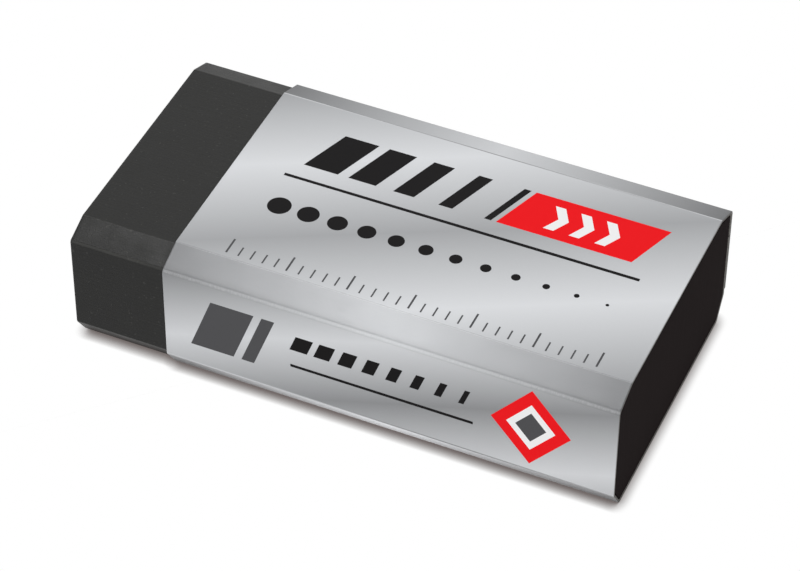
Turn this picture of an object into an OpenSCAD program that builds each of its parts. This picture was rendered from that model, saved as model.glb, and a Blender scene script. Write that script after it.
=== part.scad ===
// Block eraser in a folded card sleeve.
// X runs along the block, towards the end that is level with the sleeve.
// Y runs from the front side to the seam side, and Z is up.
// The origin is the middle of the footprint, on the surface the sleeve rests on.

/* [Vinyl block] */
// Length of the block
block_l = 45; // [40:0.5:70]
// Width of the block between its side faces
block_w = 23.5; // [18:0.1:32]
// Height of the block between its top and bottom faces
block_h = 11.2; // [10:0.1:16]
// Rounding of the block's long edges
edge_r = 0.3; // [0.1:0.05:0.4]

/* [Bevels along the block] */
// How far each upper bevel reaches in over the top face
top_bevel_w = 2.2; // [1.2:0.1:4]
// How far each upper bevel reaches down the side face
top_bevel_h = 0.9; // [0.6:0.1:1.8]
// How far each lower bevel reaches in under the bottom face
low_bevel_w = 1.2; // [0.8:0.1:3]
// How far each lower bevel reaches up the side face
low_bevel_h = 1.8; // [1:0.1:2.6]

/* [Card sleeve] */
// Length of the sleeve along the block
sleeve_l = 37; // [15:0.5:39]
// Thickness of the card
card_t = 0.2; // [0.1:0.01:0.3]
// Thickness of the glue in the seam
glue_t = 0.03; // [0.01:0.01:0.05]
// Height of the glue flap inside the seam side
flap_h = 6; // [3:0.1:6.5]
// Gap between the outer panel's cut edge and the fold below it
seam_gap = 0.3; // [0.1:0.05:1]
// Clearance between the card and the vinyl
fit_gap = 0.05; // [0.02:0.01:0.1]

/* [Hidden] */
// Flats along the curve of each fold and each long edge
fold_steps = 4;

// How far the seam's outer panel stands off from where the card would lie alone
lap_t = card_t + glue_t;
sleeve_w = block_w + 2 * fit_gap + 2 * card_t + lap_t;
front_y = -sleeve_w / 2 + card_t + fit_gap;
back_y = front_y + block_w;
base_z = card_t + fit_gap;
top_z = base_z + block_h;

// Sharp corners of the block's section, as [y, z], anticlockwise seen from +X.
// The first is the upper corner of the seam side, and the last its lower corner.
corners = [
    [back_y, top_z - top_bevel_h],
    [back_y - top_bevel_w, top_z],
    [front_y + top_bevel_w, top_z],
    [front_y, top_z - top_bevel_h],
    [front_y, base_z + low_bevel_h],
    [front_y + low_bevel_w, base_z],
    [back_y - low_bevel_w, base_z],
    [back_y, base_z + low_bevel_h]
];
count = len(corners);

function corner(i) = corners[(i + count) % count];
function direction(a, b) = (b - a) / norm(b - a);
function outward(a, b) = let (d = direction(a, b)) [d.y, -d.x];
function heading(v) = atan2(v.y, v.x);

// Where lines a-b and b-c cross, once each has moved outward by its own distance.
function crossing(a, b, c, out_ab, out_bc) =
    let (
        p = b + out_ab * outward(a, b),
        q = b + out_bc * outward(b, c),
        d = direction(a, b),
        e = direction(b, c)
    )
    p + d * ((q.x - p.x) * e.y - (q.y - p.y) * e.x) / (d.x * e.y - d.y * e.x);

// Centre of the round at corner i. The face before it may stand off by stand_off.
function round_centre(i, stand_off = 0) =
    crossing(corner(i - 1), corner(i), corner(i + 1), stand_off - edge_r, -edge_r);

// Points round corner i, all at one distance outside the block's own rounding.
function round_points(i, outside = 0, stand_off = 0) =
    let (
        start = heading(outward(corner(i - 1), corner(i))),
        turn = (heading(outward(corner(i), corner(i + 1))) - start + 360) % 360
    )
    [for (k = [0 : fold_steps])
        let (angle = start + turn * k / fold_steps)
        round_centre(i, stand_off) + (edge_r + outside) * [cos(angle), sin(angle)]];

module along_x(from, length) {
    translate([from, 0, 0])
        rotate([90, 0, 90])
            linear_extrude(length)
                children();
}

// The vinyl bar: eight flats with lightly rounded long edges, cut square.
module block() {
    color("#303030")
        along_x(-block_l / 2, block_l)
            polygon([for (i = [0 : count - 1]) each round_points(i)]);
}

// One face of the folded card, at one distance outside the block. It starts at a
// step in the seam, goes over the top, down the front and under the block, and
// comes back up the seam side to the foot of the step.
function card_face(outside, step_z) = [
    [back_y + outside + lap_t, step_z],
    each round_points(0, outside, lap_t),
    for (i = [1 : count - 1]) each round_points(i, outside),
    [back_y + outside, step_z]
];

// The sleeve: one strip of card in eight folds. On the seam side its glue flap
// lies inside, and the outer panel comes down over it to just above the last fold.
module sleeve() {
    low_fold_z = round_centre(count - 1).y;
    color("#b9bbbe")
        along_x(block_l / 2 - sleeve_l, sleeve_l)
            difference() {
                polygon(card_face(fit_gap + card_t, low_fold_z + seam_gap));
                polygon(card_face(fit_gap, low_fold_z + flap_h));
            }
}

block();
sleeve();
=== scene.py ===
import math
import bmesh
import bpy
from mathutils import Matrix, Vector
from mathutils.geometry import intersect_line_line


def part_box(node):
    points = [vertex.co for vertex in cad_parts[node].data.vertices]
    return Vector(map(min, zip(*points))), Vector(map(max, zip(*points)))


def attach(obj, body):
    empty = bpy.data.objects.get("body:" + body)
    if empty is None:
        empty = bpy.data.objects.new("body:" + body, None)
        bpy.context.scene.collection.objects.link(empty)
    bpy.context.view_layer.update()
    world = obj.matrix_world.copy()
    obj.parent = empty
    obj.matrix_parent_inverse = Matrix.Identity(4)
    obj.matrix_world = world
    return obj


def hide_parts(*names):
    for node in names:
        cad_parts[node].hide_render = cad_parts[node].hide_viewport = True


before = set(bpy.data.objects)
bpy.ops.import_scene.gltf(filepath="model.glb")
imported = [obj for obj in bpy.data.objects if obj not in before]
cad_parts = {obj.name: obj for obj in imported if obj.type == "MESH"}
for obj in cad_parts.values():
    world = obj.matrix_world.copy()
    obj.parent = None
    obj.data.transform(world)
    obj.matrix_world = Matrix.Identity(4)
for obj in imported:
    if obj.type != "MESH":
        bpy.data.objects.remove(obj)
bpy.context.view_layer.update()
mm = 0.001

# Camera, at the drawing's own viewing angle

view = {
    "place": (75.46, -173.50, 182.72),  # mm from the middle of the footprint
    "azimuth": 23.554,  # degrees round from the front, towards the level end
    "elevation": 43.311,
    "roll": 0.447,
    "lens": 150.19,  # mm
    "sensor": 36,  # mm wide
    "clip": (10, 20000),  # mm
}


def facing(azimuth, elevation):  # turn of a camera or lamp that looks at the object from there
    turn = Matrix.Rotation(math.radians(azimuth), 4, "Z")
    return turn @ Matrix.Rotation(math.radians(90 - elevation), 4, "X")


def placeCamera():
    lens = bpy.data.cameras.new("camera")
    lens.lens = view["lens"]
    lens.sensor_width = view["sensor"]
    lens.clip_start, lens.clip_end = (distance * mm for distance in view["clip"])
    camera = bpy.data.objects.new("camera", lens)
    bpy.context.scene.collection.objects.link(camera)
    roll = Matrix.Rotation(math.radians(view["roll"]), 4, "Z")
    place = Matrix.Translation(Vector(view["place"]) * mm)
    camera.matrix_world = place @ facing(view["azimuth"], view["elevation"]) @ roll
    bpy.context.scene.camera = camera


placeCamera()
print("camera placed")


# Materials

def linear(hexColour):  # sRGB hex to a linear colour
    channels = [int(hexColour[i:i + 2], 16) / 255 for i in (1, 3, 5)]
    return [c / 12.92 if c <= 0.04045 else ((c + 0.055) / 1.055) ** 2.4 for c in channels] + [1]


def addNode(tree, kind, inputs, **settings):  # an input is given a value, another node's output, or a node
    node = tree.nodes.new("ShaderNode" + kind)
    for name, value in settings.items():
        setattr(node, name, value)
    for name, value in inputs.items():
        named = [s for s in node.inputs if s.enabled and s.name == name]
        socket = named[0] if named else node.inputs[name]
        if isinstance(value, bpy.types.Node):
            value = next(s for s in value.outputs if s.enabled)
        if isinstance(value, bpy.types.NodeSocket):
            tree.links.new(value, socket)
        else:
            socket.default_value = value
    return node


def startMaterial(name):
    material = bpy.data.materials.new(name)
    material.use_nodes = True
    material.node_tree.nodes.clear()
    return material, material.node_tree


noiseLow, noiseHigh = 0.3, 0.7  # nearly all of a noise's values lie between these

vinyl = {
    "skin": "#1A1A19",  # die-smooth long faces
    "skinPale": "#252524",
    "cut": "#120B0B",  # knifed ends, darker and browner than the skin as painted shade
    "cutPale": "#1E1616",
    "ior": 1.53,  # PVC
    "roughness": (0.34, 0.44),
    "cutRoughness": 0.85,
    "sheen": 0.12,  # specular level, low because plasticiser and talc dull the surface
    "cutSheen": 0.03,
    "dieLine": 0.22,  # mm between the lines that the die leaves
    "dieStretch": 0.02,  # how little they change along the block, against across it
    "mottle": 1.8,  # mm across a patch
    "grain": 0.12,  # mm, drawn a little coarse so that it shows
    "fleck": 0.28,  # mm across a speck of talc or eraser dust
    "fleckEdge": (0.68, 0.78),  # noise level where a speck starts, and where it is full
    "dust": "#4C4C49",
    "dusting": 0.3,  # share of the dust's colour that a speck takes
    "worn": "#3A3A38",  # handled edges
    "polish": 0.12,  # what handling takes off their roughness
    "bladeLine": 0.16,  # mm between blade marks on the ends
    "bladeStretch": 0.03,  # how little they change down the cut
    "bladeLean": 8,  # degrees
    "markDepth": 0.02,  # mm, of lines, grain and blade marks
}


def extrudedVinyl():
    # Soft PVC filled with carbon black, pressed through a die: nearly black, matt, with
    # a broad weak sheen, faint lines along its length, a fine grain and a few pale specks.
    # Its edges are rubbed a little smoother and paler by handling.
    material, tree = startMaterial("extrudedVinyl")
    place = addNode(tree, "TexCoord", {}).outputs["Object"]
    drawn = addNode(tree, "Mapping", {"Vector": place, "Scale": (vinyl["dieStretch"], 1, 1)})
    lines = addNode(tree, "TexNoise", {"Vector": drawn, "Scale": 1 / (vinyl["dieLine"] * mm), "Detail": 2})
    patches = addNode(tree, "TexNoise", {"Vector": place, "Scale": 1 / (vinyl["mottle"] * mm), "Detail": 3})
    grain = addNode(tree, "TexNoise", {"Vector": place, "Scale": 1 / (vinyl["grain"] * mm), "Detail": 2})
    specks = addNode(tree, "TexNoise", {"Vector": place, "Scale": 1 / (vinyl["fleck"] * mm), "Detail": 1})
    fleckStart, fleckFull = vinyl["fleckEdge"]
    dusty = addNode(tree, "MapRange", {"Value": specks, "From Min": fleckStart, "From Max": fleckFull,
                                       "To Max": vinyl["dusting"]})
    edge = addNode(tree, "Attribute", {}, attribute_name="worn").outputs["Fac"]
    rubbed = addNode(tree, "Math", {0: edge, 1: patches}, operation="MULTIPLY")
    colour = addNode(tree, "Mix", {"Factor": grain, "A": linear(vinyl["skin"]),
                                   "B": linear(vinyl["skinPale"])}, data_type="RGBA")
    colour = addNode(tree, "Mix", {"Factor": rubbed, "A": colour, "B": linear(vinyl["worn"])},
                     data_type="RGBA")
    colour = addNode(tree, "Mix", {"Factor": dusty, "A": colour, "B": linear(vinyl["dust"])},
                     data_type="RGBA")
    smooth, dull = vinyl["roughness"]
    rough = addNode(tree, "MapRange", {"Value": patches, "From Min": noiseLow, "From Max": noiseHigh,
                                       "To Min": smooth, "To Max": dull})
    rough = addNode(tree, "Math", {0: rubbed, 1: -vinyl["polish"], 2: rough}, operation="MULTIPLY_ADD")
    depth = vinyl["markDepth"] * mm
    lineBump = addNode(tree, "Bump", {"Height": lines, "Strength": 0.5, "Distance": depth})
    grainBump = addNode(tree, "Bump", {"Height": grain, "Strength": 0.6, "Distance": depth,
                                       "Normal": lineBump})
    shader = addNode(tree, "BsdfPrincipled", {"Base Color": colour, "Roughness": rough, "IOR": vinyl["ior"],
                                              "Specular IOR Level": vinyl["sheen"], "Normal": grainBump})
    addNode(tree, "OutputMaterial", {"Surface": shader})
    return material


def knifedVinyl():
    # The same PVC where a knife cut it to length: dead flat black, with fine marks down
    # the cut and no skin to give a sheen. Its colour is darker and browner than the skin's, as painted shade.
    material, tree = startMaterial("knifedVinyl")
    place = addNode(tree, "TexCoord", {}).outputs["Object"]
    leaning = addNode(tree, "Mapping", {"Vector": place, "Rotation": (math.radians(vinyl["bladeLean"]), 0, 0),
                                        "Scale": (1, 1, vinyl["bladeStretch"])})
    marks = addNode(tree, "TexNoise", {"Vector": leaning, "Scale": 1 / (vinyl["bladeLine"] * mm),
                                       "Detail": 4})
    colour = addNode(tree, "Mix", {"Factor": marks, "A": linear(vinyl["cut"]), "B": linear(vinyl["cutPale"])},
                     data_type="RGBA")
    bump = addNode(tree, "Bump", {"Height": marks, "Strength": 0.5, "Distance": vinyl["markDepth"] * mm})
    shader = addNode(tree, "BsdfPrincipled", {"Base Color": colour, "Roughness": vinyl["cutRoughness"],
                                              "IOR": vinyl["ior"], "Specular IOR Level": vinyl["cutSheen"],
                                              "Normal": bump})
    addNode(tree, "OutputMaterial", {"Surface": shader})
    return material


# Shared shape of the section

section = {
    "topBevel": (2.2, 0.9),  # mm in over the top, and down the side
    "lowBevel": (1.2, 1.8),  # mm in under the bottom, and up the side
    "edgeRadius": 0.3,  # mm on the vinyl's long edges
    "roundSteps": 4,
    "smoothBelow": 35,  # degrees between faces that shade as one
}
blockLow, blockHigh = (Vector(corner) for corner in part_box("block"))
sleeveLow, sleeveHigh = (Vector(corner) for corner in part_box("sleeve"))


def blockCorners():  # clockwise seen from the level end, from the upper corner of the back side
    topIn, topDown = (size * mm for size in section["topBevel"])
    lowIn, lowUp = (size * mm for size in section["lowBevel"])
    low, high = blockLow, blockHigh
    points = [
        (high.y, high.z - topDown), (high.y, low.z + lowUp),
        (high.y - lowIn, low.z), (low.y + lowIn, low.z),
        (low.y, low.z + lowUp), (low.y, high.z - topDown),
        (low.y + topIn, high.z), (high.y - topIn, high.z),
    ]
    return [Vector((0, y, z)) for y, z in points]


def outward(start, end):  # unit normal of a side, out of the section
    return Vector((1, 0, 0)).cross((end - start).normalized())


def movedCorner(before, at, after, outBefore, outAfter):  # where two sides meet once each has moved out
    first = outward(before, at) * outBefore
    second = outward(at, after) * outAfter
    return intersect_line_line(before + first, at + first, at + second, after + second)[0]


def cutAcross(bm, place, normal, **settings):  # adds the edges where a plane meets the mesh
    everything = bm.verts[:] + bm.edges[:] + bm.faces[:]
    return bmesh.ops.bisect_plane(bm, geom=everything, plane_co=place, plane_no=normal, **settings)


def makePiece(name, bm, node, materials):
    mesh = bpy.data.meshes.new(name)
    bm.to_mesh(mesh)
    bm.free()
    for material in materials:
        mesh.materials.append(material)
    mesh.polygons.foreach_set("use_smooth", [True] * len(mesh.polygons))
    mesh.set_sharp_from_angle(angle=math.radians(section["smoothBelow"]))
    piece = bpy.data.objects.new(name, mesh)
    bpy.context.scene.collection.objects.link(piece)
    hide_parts(node)
    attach(piece, node)
    return piece


# Vinyl block

blockEdges = {
    "endRadius": 0.12,  # mm, where the knife's edge was tumbled soft
    "endSteps": 3,
    "endCell": 0.3,  # mm, a narrow cell that keeps the ends' shading off the long faces
    "endTurn": 80,  # degrees between faces, which only the edges round the two ends pass
}


def makeBlock():
    bm = bmesh.new()
    bmesh.ops.create_cube(bm, size=1)
    bmesh.ops.scale(bm, vec=blockHigh - blockLow, verts=bm.verts)
    bmesh.ops.translate(bm, vec=(blockLow + blockHigh) / 2, verts=bm.verts)
    corners = blockCorners()
    for start in (1, 3, 5, 7):  # each bevel runs from one of these corners to the next
        end = (start + 1) % len(corners)
        cut = cutAcross(bm, corners[start], outward(corners[start], corners[end]), clear_outer=True)
        rim = [item for item in cut["geom_cut"] if isinstance(item, bmesh.types.BMEdge)]
        bmesh.ops.contextual_create(bm, geom=rim)
    bmesh.ops.recalc_face_normals(bm, faces=bm.faces)
    roundLongEdges(bm)
    ends = [edge for edge in bm.edges if edge.calc_face_angle(0) > math.radians(blockEdges["endTurn"])]
    roundEdges(bm, ends, blockEdges["endRadius"] * mm, blockEdges["endSteps"])
    for x in (blockLow.x + blockEdges["endCell"] * mm, 0, blockHigh.x - blockEdges["endCell"] * mm):
        cutAcross(bm, (x, 0, 0), (1, 0, 0))
    worn = bm.verts.layers.float.new("worn")  # 1 along the middle of every rounded edge
    for vert in bm.verts:
        vert[worn] = not any(isMain(face) for face in vert.link_faces)
    for face in bm.faces:
        face.material_index = int(abs(face.normal.x) > 0.5)  # the ends are knifed
    piece = makePiece("eraserBlock", bm, "block", [extrudedVinyl(), knifedVinyl()])
    piece.modifiers.new("evenShading", "WEIGHTED_NORMAL").keep_sharp = True


def roundLongEdges(bm):  # the sharpest turns last, so that no new edge is taken for an old one
    radius = section["edgeRadius"] * mm
    turns = sorted({turnAt(edge) for edge in bm.edges if runsAlong(edge)})
    for turn in turns:
        sharp = [edge for edge in bm.edges if runsAlong(edge) and turnAt(edge) == turn]
        roundEdges(bm, sharp, radius * math.tan(math.radians(turn / 2)), section["roundSteps"])


def runsAlong(edge):  # within 8 degrees of the block's length
    return abs((edge.verts[1].co - edge.verts[0].co).normalized().x) > 0.99


def turnAt(edge):  # whole degrees between its two faces
    return round(math.degrees(edge.calc_face_angle()))


def roundEdges(bm, edges, reach, steps):
    bmesh.ops.bevel(bm, geom=edges, offset=reach, offset_type="OFFSET", affect="EDGES",
                    segments=steps, profile=0.5, material=-1)


def isMain(face):  # a face of the plain block, not one of the narrow faces of a rounded edge
    corners = blockCorners()
    sides = [outward(corners[i - 1], corners[i]) for i in range(len(corners))]
    sides += [Vector((1, 0, 0)), Vector((-1, 0, 0))]
    return any(face.normal.dot(side) > 0.9999 for side in sides)  # within a degree


makeBlock()
print("vinyl block made")


# Card sleeve

card = {
    "thickness": 0.2,  # mm
    "glue": 0.03,
    "clearance": 0.05,  # mm between the card and the vinyl
    "flapHeight": 6,  # mm of glue flap inside the seam side
    "seamGap": 0.3,  # mm from the last fold up to the outer panel's cut edge
    "lengthCells": 24,
    "panelCells": 4,
    "rimCell": 0.1,  # mm, a narrow cell that keeps the rim's shading off the panels
    "edgeRadius": 0.03,  # mm on the cut edges
    "edgeSteps": 2,
    "edgeTurn": 60,  # degrees between faces, which only the cut edges pass
}

# The card's panels in order from the glue flap. Each has the silver's painted reflection at its first and
# last edge in turns of its soft bands, the darkest and the lightest level of those bands, painted lighter or
# darker for how the light falls on the panel, and the share of light that painted shade takes off along the
# fold before it.
paintedSilverShade = {
    "flap": (0, 0, 0.5, 0.5, 0),
    "lowBack": (0, 0, 0.30, 0.60, 0.1),
    "bottom": (1, 0, 0.42, 0.72, 0.1),
    "lowFront": (0, 0, 0.28, 1.0, 0.1),
    "front": (0.66, 0, 0.275, 0.665, 0.35),
    "topFront": (0, 0, 0.135, 0.305, 0.12),
    "top": (0, -1, 0.315, 0.585, 0.1),
    "topBack": (0, 0, 0.165, 0.63, 0.1),
    "back": (0.66, 0, 0.36, 0.86, 0.1),
}


def stripCorners():  # the card's outer face, from the glue flap's free edge to the outer panel's cut edge
    outside = (card["clearance"] + card["thickness"]) * mm
    lap = (card["thickness"] + card["glue"]) * mm
    radius = section["edgeRadius"] * mm
    corners = blockCorners()
    count = len(corners)
    moved = []
    for i in range(1, count + 1):
        stand = lap if i == count else 0  # the outer panel stands off by the flap that it is glued to
        moved.append(movedCorner(corners[i - 1], corners[i % count], corners[(i + 1) % count],
                                 outside, outside + stand))
    foldHeight = movedCorner(corners[0], corners[1], corners[2], -radius, -radius).z
    first = Vector((0, moved[0].y, foldHeight + card["flapHeight"] * mm))
    last = Vector((0, moved[-1].y, foldHeight + card["seamGap"] * mm))
    return [first] + moved + [last]


def bendLines():  # (place on the flat card, angle) of every bend, each panel's reach, and the free edge
    steps = section["roundSteps"]
    radius = (section["edgeRadius"] + card["clearance"] + card["thickness"]) * mm
    points = stripCorners()
    bends = []
    panels = []
    place = 0
    taken = 0
    for i in range(1, len(points)):
        length = (points[i] - points[i - 1]).length - taken
        start = place
        if i == len(points) - 1:
            panels.append((start, start + length))
            break
        turn = (points[i] - points[i - 1]).angle(points[i + 1] - points[i])
        width = 2 * radius * math.tan(turn / steps / 2)  # of one flat in the fold
        taken = radius * math.tan(turn / 2) - width / 2
        place += length - taken
        panels.append((start, place))
        for step in range(steps):
            bends.append((place + step * width, turn / steps))
        place += (steps - 1) * width
    return bends, dict(zip(paintedSilverShade, panels)), points[0]


def paintedShadeAt(panels, place):  # turns of the painted reflection, painted darkest and lightest level, and how near the middle of a fold
    stops = []
    for name, (start, end) in panels.items():
        firstTurns, lastTurns, dark, light, paintedFoldShade = paintedSilverShade[name]
        stops += [(start, (firstTurns, dark, light), paintedFoldShade), (end, (lastTurns, dark, light), 0)]
    for i, (lower, upper) in enumerate(zip(stops, stops[1:])):
        if place <= upper[0]:
            break
    share = min(max((place - lower[0]) / (upper[0] - lower[0]), 0), 1)
    inFold = 0
    if i % 2:
        inFold = 1 - abs(2 * share - 1)
        share = 0.5 + 4 * (share - 0.5) ** 3  # most of the painted change of level comes at the fold's two ends
    turns, dark, light = (a + (b - a) * share for a, b in zip(lower[1], upper[1]))
    # painted shade along the middle of the fold
    kept = 1 - upper[2] * inFold
    return turns, dark * kept, light * kept, inFold


def makeStrip(bends, panels):  # the flat card, cut at every bend, with the layers that its print and its painted shading read
    length = sleeveHigh.x - sleeveLow.x
    girth = panels["back"][1]
    bm = bmesh.new()
    bmesh.ops.create_grid(bm, x_segments=card["lengthCells"], y_segments=1, size=0.5)
    bmesh.ops.scale(bm, vec=(length, girth, 1), verts=bm.verts)
    bmesh.ops.translate(bm, vec=(sleeveLow.x + length / 2, girth / 2, 0), verts=bm.verts)
    cuts = [place for place, angle in bends]
    cells = card["panelCells"]
    for start, end in panels.values():
        cuts += [start + (end - start) * k / cells for k in range(1, cells)]
    for place in cuts:
        cutAcross(bm, (0, place, 0), (0, 1, 0))
    for x in (sleeveLow.x + card["rimCell"] * mm, sleeveHigh.x - card["rimCell"] * mm):
        cutAcross(bm, (x, 0, 0), (1, 0, 0))
    flat = bm.loops.layers.uv.new("flatCard")  # in mm, from the left end and the glue flap's free edge
    band = bm.loops.layers.uv.new("silverBand")  # in turns of the silver's painted reflection bands
    tone = bm.loops.layers.float_color.new("paintedShadeAndFold")  # painted darkest level, painted lightest level, and the folds
    for face in bm.faces:
        for loop in face.loops:
            x, y = loop.vert.co.x - sleeveLow.x, loop.vert.co.y
            turns, dark, light, inFold = paintedShadeAt(panels, y)
            loop[flat].uv = (x / mm, y / mm)
            loop[band].uv = (x / length + turns, 0)
            loop[tone] = (dark, light, inFold, 1)
    return bm


def foldStrip(bm, bends, freeEdge):  # the last bend first, and each turns all that lies beyond it
    slack = 1e-7  # m, so that what lies on a bend stays where it is
    along = bm.verts.layers.float.new("girth")
    for vert in bm.verts:
        vert[along] = vert.co.y
    for place, angle in reversed(bends):
        beyond = [vert for vert in bm.verts if vert[along] > place + slack]
        bmesh.ops.rotate(bm, cent=(0, place, 0), matrix=Matrix.Rotation(-angle, 3, "X"), verts=beyond)
    upright = Matrix.Rotation(math.radians(-90), 3, "X")
    bmesh.ops.rotate(bm, cent=(0, 0, 0), matrix=upright, verts=bm.verts)
    bmesh.ops.translate(bm, vec=(0, freeEdge.y, freeEdge.z), verts=bm.verts)


def makeSleeve():
    bends, panels, freeEdge = bendLines()
    bm = makeStrip(bends, panels)
    foldStrip(bm, bends, freeEdge)
    reaches = {name: (start / mm, end / mm) for name, (start, end) in panels.items()}
    piece = makePiece("cardSleeve", bm, "sleeve",
                      [printedFoil(reaches), cardBack(), cardEdge()])
    wall = piece.modifiers.new("thickness", "SOLIDIFY")
    wall.thickness = card["thickness"] * mm
    wall.offset = -1
    wall.use_even_offset = True
    wall.material_offset = 1
    wall.material_offset_rim = 2
    softened = piece.modifiers.new("cutEdges", "BEVEL")
    softened.width = card["edgeRadius"] * mm
    softened.segments = card["edgeSteps"]
    softened.limit_method = "ANGLE"
    softened.angle_limit = math.radians(card["edgeTurn"])
    piece.modifiers.new("evenShading", "WEIGHTED_NORMAL").keep_sharp = True


# Print on the card

ink = {
    "silver": "#F9FBFE",  # tint of the metallised film
    "black": "#0D0B0C",
    "red": "#EC1119",
    "white": "#F0F0F0",
    "darkGrey": "#4D4D4F",
}

film = {
    "metal": 0.4,  # metallised film under a pale translucent ink
    "roughness": (0.40, 0.46),  # bare, and under opaque ink
    "sheen": 0.06,  # specular level of the satin finish
    "bare": "#D6D7D6",  # rubbed folds
    "crack": 0.14,  # mm between cracks along a fold
    "crackLength": 0.35,  # mm across it
    "crackEdge": (0.4, 0.7),  # noise level where a crack starts, and where it is full
    "rubbing": 0.4,  # how bare a crack is rubbed at most
    "foldFocus": 3,  # how closely the rubbing keeps to the middle of a fold
    "cloud": 2.5,  # mm across the film's duller and brighter patches
    "lustre": 0.01,  # what they add to the roughness or take off it
    "scuff": 0.2,  # mm between the finest scuffs
    "scuffLength": 2.5,  # mm
    "scuffLean": -38,  # degrees
    "scuffEdge": (0.58, 0.8),  # noise level where a scuff starts, and where it is full
    "scuffing": 0.05,  # what a scuff adds to the roughness
    "fibre": 0.35,  # mm across the board's fibres, which show through the film
    "fibreDepth": 0.02,  # mm
}

board = {
    "back": "#8D8A85",
    "backPale": "#B7B4AE",
    "backFibre": 0.25,  # mm
    "backDepth": 0.03,  # mm
    "backSheen": 0.2,
    # the cut edge's grey is painted shade, darker than the board's pale cut edge
    "edge": "#6F6D6A",
    "edgePale": "#949290",
    "edgeFibre": 0.1,  # mm
    "edgeSheen": 0.1,
    "roughness": 0.9,
}


# The print's motifs in the order of printing, each with its panels, ink and shape. Wide panels are top
# and bottom, and narrow ones front and back. Places are in mm from a panel's left end and first edge,
# sizes in mm and angles in degrees.
printLayout = {
    "slantedBars": ("wide", "black", {
        "start": (5.6, 14.1), "pitch": 3.5, "count": 5, "thick": 2.9, "height": 4.4, "lean": 0.36,
        "fade": 0.8,
    }),
    "band": ("wide", "red", {"centre": (27.6, 14.1), "pairs": [(90, 4.4), (-20, 10.4)]}),
    "chevrons": ("wide", "white", {
        "start": (24.9, 14.1), "pitch": 2.1, "count": 3, "thick": 0.85, "height": 2.7, "lean": -0.55,
        "mirrored": True,
    }),
    "longRule": ("wide", "black", {"centre": (18.9, 10.3), "pairs": [(90, 0.3), (0, 29.4)]}),
    "fadingDots": ("wide", "black", {
        "start": (4.2, 6.8), "pitch": 2.45, "count": 12, "thick": 1.9, "height": 3, "fade": 0.85,
        "dots": True,
    }),
    "shortTicks": ("wide", "darkGrey", {
        "start": (3.5, 0.9), "pitch": 1.0, "count": 30, "thick": 0.13, "height": 1.0,
    }),
    "longTicks": ("wide", "darkGrey", {
        "start": (1.5, 1.2), "pitch": 5.0, "count": 7, "thick": 0.16, "height": 1.6,
    }),
    "wideSlash": ("narrow", "darkGrey", {"centre": (4.9, 4.35), "pairs": [(90, 5.0), (-20, 3.4)]}),
    "thinSlash": ("narrow", "darkGrey", {"centre": (7.9, 4.35), "pairs": [(90, 5.0), (-20, 1.0)]}),
    "shortRule": ("narrow", "black", {"centre": (18.1, 2.9), "pairs": [(90, 0.28), (0, 15.0)]}),
    "dashes": ("narrow", "black", {
        "start": (10.6, 5.3), "pitch": 1.9, "count": 8, "thick": 1.45, "height": 1.5, "lean": 0.36,
        "fade": 0.7,
    }),
    "outerDiamond": ("narrow", "red", {"centre": (30.2, 4.35), "pairs": [(40, 4.9), (-40, 4.9)]}),
    "middleDiamond": ("narrow", "white", {"centre": (30.2, 4.35), "pairs": [(40, 3.0), (-40, 3.0)]}),
    "innerDiamond": ("narrow", "darkGrey", {"centre": (30.2, 4.35), "pairs": [(40, 1.9), (-40, 1.9)]}),
}


def bandShape(tree, place, centre, pairs):  # 1 inside every pair of parallel sides, each (angle, width)
    local = addNode(tree, "VectorMath", {0: place, 1: (*centre, 0)}, operation="SUBTRACT")
    far = None
    for angle, width in pairs:
        lean = math.radians(angle)
        across = (2 * math.cos(lean) / width, 2 * math.sin(lean) / width, 0)
        reach = addNode(tree, "VectorMath", {0: local, 1: across}, operation="DOT_PRODUCT").outputs["Value"]
        reach = addNode(tree, "Math", {0: reach}, operation="ABSOLUTE")
        far = addNode(tree, "Math", {0: far, 1: reach}, operation="MAXIMUM") if far else reach
    return addNode(tree, "Math", {0: far, 1: 1.0}, operation="LESS_THAN")


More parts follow.
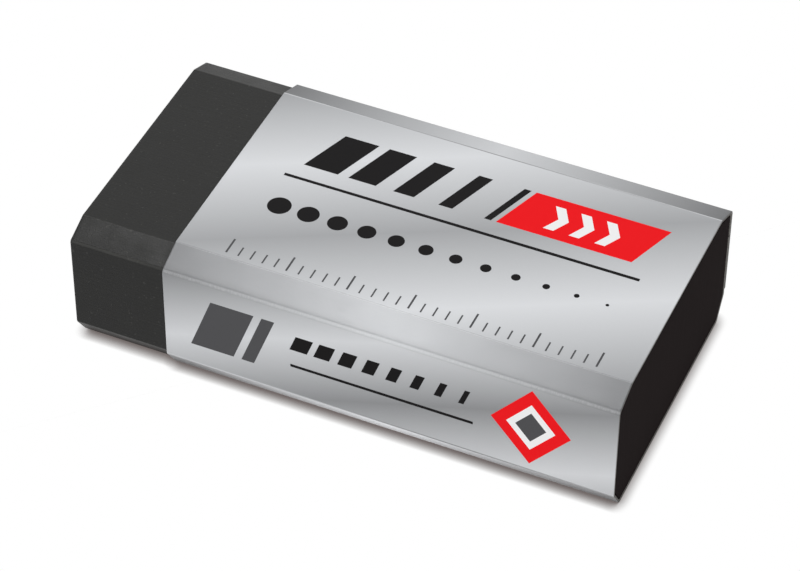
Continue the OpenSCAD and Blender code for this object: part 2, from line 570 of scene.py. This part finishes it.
def motifRow(tree, place, start, pitch, count, thick, height, lean=0, mirrored=False, fade=0, dots=False):
    # 1 inside bars, chevrons or dots in a row: start is the left end of the row's middle line, lean the
    # slope of a bar, and fade the share of its thickness that the last one has lost.
    local = addNode(tree, "VectorMath", {0: place, 1: (*start, 0)}, operation="SUBTRACT")
    split = addNode(tree, "SeparateXYZ", {"Vector": local})
    level = addNode(tree, "Math", {0: split.outputs["Y"]}, operation="ABSOLUTE")
    rise = level if mirrored else split.outputs["Y"]
    shift = addNode(tree, "Math", {0: rise, 1: -lean, 2: split.outputs["X"]}, operation="MULTIPLY_ADD")
    cells = addNode(tree, "Math", {0: shift, 1: pitch}, operation="DIVIDE")
    cell = addNode(tree, "Math", {0: cells}, operation="FLOOR")
    middle = addNode(tree, "Math", {0: cell, 1: pitch, 2: pitch / 2}, operation="MULTIPLY_ADD")
    off = addNode(tree, "Math", {0: shift, 1: middle}, operation="SUBTRACT")
    if dots:
        spot = addNode(tree, "CombineXYZ", {"X": off, "Y": split.outputs["Y"]})
        off = addNode(tree, "VectorMath", {0: spot}, operation="LENGTH").outputs["Value"]
    else:
        off = addNode(tree, "Math", {0: off}, operation="ABSOLUTE")
    lost = fade * thick / 2 / max(count - 1, 1)  # of half the thickness, from one to the next
    half = addNode(tree, "Math", {0: cell, 1: -lost, 2: thick / 2}, operation="MULTIPLY_ADD")
    within = addNode(tree, "Math", {0: off, 1: half}, operation="LESS_THAN")
    inHeight = addNode(tree, "Math", {0: level, 1: height / 2}, operation="LESS_THAN")
    fromMiddle = addNode(tree, "Math", {0: cell, 1: (count - 1) / 2}, operation="SUBTRACT")
    fromMiddle = addNode(tree, "Math", {0: fromMiddle}, operation="ABSOLUTE")
    inRow = addNode(tree, "Math", {0: fromMiddle, 1: count / 2}, operation="LESS_THAN")
    both = addNode(tree, "Math", {0: within, 1: inHeight}, operation="MULTIPLY")
    return addNode(tree, "Math", {0: both, 1: inRow}, operation="MULTIPLY")


def panelPlace(tree, flat, lower, upper, split):  # mm from the corner of the one of two panels it is on
    girth = addNode(tree, "SeparateXYZ", {"Vector": flat}).outputs["Y"]
    isUpper = addNode(tree, "Math", {0: girth, 1: split}, operation="GREATER_THAN")
    origin = addNode(tree, "Math", {0: isUpper, 1: upper - lower, 2: lower}, operation="MULTIPLY_ADD")
    origin = addNode(tree, "CombineXYZ", {"Y": origin})
    return addNode(tree, "VectorMath", {0: flat, 1: origin}, operation="SUBTRACT")


def paintedSilverShading(tree, levels):  # painted reflection and shade: soft light and dark bands that run slantwise over each panel
    band = addNode(tree, "UVMap", {}, uv_map="silverBand")
    turns = addNode(tree, "SeparateXYZ", {"Vector": band}).outputs["X"]
    wave = addNode(tree, "Math", {0: turns, 1: 0.5}, operation="PINGPONG")
    level = addNode(tree, "MapRange", {"Value": wave, "From Max": 0.5, "To Min": levels.outputs["X"],
                                       "To Max": levels.outputs["Y"]})
    silver = linear(ink["silver"])[:3]
    return addNode(tree, "VectorMath", {0: silver, "Scale": level}, operation="SCALE")


def printShapes(tree, places):  # (ink, mask) of every motif, in the order of printing
    shapes = []
    for panels, inkName, shape in printLayout.values():
        makeMask = bandShape if "centre" in shape else motifRow
        shapes.append((inkName, makeMask(tree, places[panels], **shape)))
    return shapes


def printedFoil(panels):
    # Thin board laminated with metallised film and offset printed: a satin silver that takes a soft
    # blurred reflection, with flat opaque inks over it and the same clear satin finish on both.
    # Along the folds the film is crazed by the creasing, and rubbed pale in places.
    material, tree = startMaterial("printedFoil")
    flat = addNode(tree, "UVMap", {}, uv_map="flatCard").outputs["UV"]
    places = {
        "wide": panelPlace(tree, flat, panels["bottom"][0], panels["top"][0], panels["front"][1]),
        "narrow": panelPlace(tree, flat, panels["front"][0], panels["back"][0], panels["top"][1]),
    }
    levels = addNode(tree, "Attribute", {}, attribute_name="paintedShadeAndFold").outputs["Vector"]
    levels = addNode(tree, "SeparateXYZ", {"Vector": levels})
    # the silver's colour: painted reflection bands, and painted shade per panel and along the folds
    colour = paintedSilverShading(tree, levels)
    inked = None
    for name, mask in printShapes(tree, places):
        colour = addNode(tree, "Mix", {"Factor": mask, "A": colour, "B": linear(ink[name])}, data_type="RGBA")
        inked = addNode(tree, "Math", {0: inked, 1: mask}, operation="MAXIMUM") if inked else mask
    along = addNode(tree, "Mapping", {"Vector": flat,
                                      "Scale": (1 / film["crack"], 1 / film["crackLength"], 1)})
    cracks = addNode(tree, "TexNoise", {"Vector": along, "Scale": 1.0, "Detail": 3})
    crackStart, crackFull = film["crackEdge"]
    rubbed = addNode(tree, "MapRange", {"Value": cracks, "From Min": crackStart, "From Max": crackFull,
                                        "To Max": film["rubbing"]})
    ridge = addNode(tree, "Math", {0: levels.outputs["Z"], 1: film["foldFocus"]}, operation="POWER")
    rubbed = addNode(tree, "Math", {0: rubbed, 1: ridge}, operation="MULTIPLY")
    colour = addNode(tree, "Mix", {"Factor": rubbed, "A": colour, "B": linear(film["bare"])},
                     data_type="RGBA")
    metal = addNode(tree, "MapRange", {"Value": inked, "To Min": film["metal"], "To Max": 0.0})
    bareRough, inkRough = film["roughness"]
    rough = addNode(tree, "MapRange", {"Value": inked, "To Min": bareRough, "To Max": inkRough})
    clouds = addNode(tree, "TexNoise", {"Vector": flat, "Scale": 1 / film["cloud"], "Detail": 3})
    clouded = addNode(tree, "MapRange", {"Value": clouds, "From Min": noiseLow, "From Max": noiseHigh,
                                         "To Min": -film["lustre"], "To Max": film["lustre"]})
    rough = addNode(tree, "Math", {0: rough, 1: clouded}, operation="ADD")
    handled = addNode(tree, "Mapping", {"Vector": flat, "Rotation": (0, 0, math.radians(film["scuffLean"])),
                                        "Scale": (1 / film["scuffLength"], 1 / film["scuff"], 1)})
    scuffs = addNode(tree, "TexNoise", {"Vector": handled, "Scale": 1.0, "Detail": 3})
    scuffStart, scuffFull = film["scuffEdge"]
    scuffed = addNode(tree, "MapRange", {"Value": scuffs, "From Min": scuffStart, "From Max": scuffFull,
                                         "To Max": film["scuffing"]})
    rough = addNode(tree, "Math", {0: rough, 1: scuffed}, operation="ADD")
    place = addNode(tree, "TexCoord", {}).outputs["Object"]
    fibres = addNode(tree, "TexNoise", {"Vector": place, "Scale": 1 / (film["fibre"] * mm), "Detail": 3})
    fibreBump = addNode(tree, "Bump", {"Height": fibres, "Strength": 0.25,
                                       "Distance": film["fibreDepth"] * mm})
    shader = addNode(tree, "BsdfPrincipled", {"Base Color": colour, "Metallic": metal, "Roughness": rough,
                                              "Specular IOR Level": film["sheen"], "Normal": fibreBump})
    addNode(tree, "OutputMaterial", {"Surface": shader})
    return material


def cardBack():
    # Uncoated grey board on the inside: dull, with short fibres and flecks.
    material, tree = startMaterial("greyBoard")
    place = addNode(tree, "TexCoord", {}).outputs["Object"]
    fibres = addNode(tree, "TexNoise", {"Vector": place, "Scale": 1 / (board["backFibre"] * mm), "Detail": 4})
    colour = addNode(tree, "Mix", {"Factor": fibres, "A": linear(board["back"]),
                                   "B": linear(board["backPale"])}, data_type="RGBA")
    bump = addNode(tree, "Bump", {"Height": fibres, "Strength": 0.4, "Distance": board["backDepth"] * mm})
    shader = addNode(tree, "BsdfPrincipled", {"Base Color": colour, "Roughness": board["roughness"],
                                              "Specular IOR Level": board["backSheen"], "Normal": bump})
    addNode(tree, "OutputMaterial", {"Surface": shader})
    return material


def cardEdge():
    # The board's cut edge: torn fibre between the film and the back, given painted shade that makes it darker
    # than both.
    material, tree = startMaterial("cutBoard")
    place = addNode(tree, "TexCoord", {}).outputs["Object"]
    fibres = addNode(tree, "TexNoise", {"Vector": place, "Scale": 1 / (board["edgeFibre"] * mm), "Detail": 2})
    colour = addNode(tree, "Mix", {"Factor": fibres, "A": linear(board["edge"]),
                                   "B": linear(board["edgePale"])}, data_type="RGBA")
    shader = addNode(tree, "BsdfPrincipled", {"Base Color": colour, "Roughness": board["roughness"],
                                              "Specular IOR Level": board["edgeSheen"]})
    addNode(tree, "OutputMaterial", {"Surface": shader})
    return material


makeSleeve()
print("card sleeve made")


# Floor and light

stage = {
    "floor": "#E6E6E6",
    "floorSize": 6,  # m
    "floorDrop": 0.02,  # mm, clear of the card that lies on it
    "shadow": "#6B6260",
    "shadowReach": 0.98,  # mm
    "shadowSpan": (0.2, 0.97),  # openness where the shadow is full, and where it ends
    "shadowCurve": 1.4,
    "shadowSamples": 16,
    "worldLevel": 0.29,  # light from all round, where 1 is white
    # azimuth and elevation in degrees as for the camera, distance and size in m, then brightness
    "softboxes": {
        "backLeft": (-157, 44, 0.7, 0.8, 0.65),
        "highLeft": (-87, 73, 0.7, 0.25, 9.5),
        "wideFront": (-8, 24, 0.8, 0.9, 1.75),
    },
}


def whereSeen(tree):  # 1 for what the camera sees, straight or in a reflection, and 0 for what only lights
    path = addNode(tree, "LightPath", {})
    seen = addNode(tree, "Math", {0: path.outputs["Is Camera Ray"], 1: path.outputs["Is Glossy Ray"]},
                   operation="MAXIMUM")
    return addNode(tree, "Math", {0: seen, 1: path.outputs["Is Transmission Ray"]}, operation="MAXIMUM")


def paleFloor():
    # Seamless white paper. What the camera and reflections see of it is white, with a narrow shadow where
    # the eraser stands, and the light that it throws back is a pale grey's.
    material, tree = startMaterial("whitePaper")
    seen = whereSeen(tree)
    near = addNode(tree, "AmbientOcclusion", {"Distance": stage["shadowReach"] * mm},
                   samples=stage["shadowSamples"])
    full, ended = stage["shadowSpan"]
    clear = addNode(tree, "MapRange", {"Value": near.outputs["AO"], "From Min": full, "From Max": ended})
    clear = addNode(tree, "Math", {0: clear, 1: stage["shadowCurve"]}, operation="POWER")
    tone = addNode(tree, "Mix", {"Factor": clear, "A": linear(stage["shadow"]), "B": (1, 1, 1, 1)},
                   data_type="RGBA")
    paper = addNode(tree, "BsdfDiffuse", {"Color": linear(stage["floor"])})
    white = addNode(tree, "Emission", {"Color": tone, "Strength": 1.0})
    shader = addNode(tree, "MixShader", {0: seen, 1: paper, 2: white})
    addNode(tree, "OutputMaterial", {"Surface": shader})
    return material


def makeFloor():
    bm = bmesh.new()
    bmesh.ops.create_grid(bm, x_segments=1, y_segments=1, size=stage["floorSize"] / 2)
    bmesh.ops.translate(bm, vec=(0, 0, -stage["floorDrop"] * mm), verts=bm.verts)
    mesh = bpy.data.meshes.new("floor")
    bm.to_mesh(mesh)
    bm.free()
    mesh.materials.append(paleFloor())
    floor = bpy.data.objects.new("floor", mesh)
    bpy.context.scene.collection.objects.link(floor)


def makeLight():
    world = bpy.data.worlds.new("studio")
    world.use_nodes = True
    tree = world.node_tree
    tree.nodes.clear()
    level = addNode(tree, "MapRange", {"Value": whereSeen(tree), "To Min": stage["worldLevel"],
                                       "To Max": 1.0})
    sky = addNode(tree, "Background", {"Color": (1, 1, 1, 1), "Strength": level})
    addNode(tree, "OutputWorld", {"Surface": sky})
    bpy.context.scene.world = world
    for name, (azimuth, elevation, distance, size, brightness) in stage["softboxes"].items():
        lamp = bpy.data.lights.new(name, "AREA")
        lamp.shape = "SQUARE"
        lamp.size = size
        lamp.energy = brightness * math.pi * size * size  # watts that give this brightness over the face
        light = bpy.data.objects.new(name, lamp)
        bpy.context.scene.collection.objects.link(light)
        light.matrix_world = facing(azimuth, elevation) @ Matrix.Translation((0, 0, distance))
    bpy.context.scene.view_settings.view_transform = "Standard"


makeFloor()
makeLight()
print("floor and lights set")
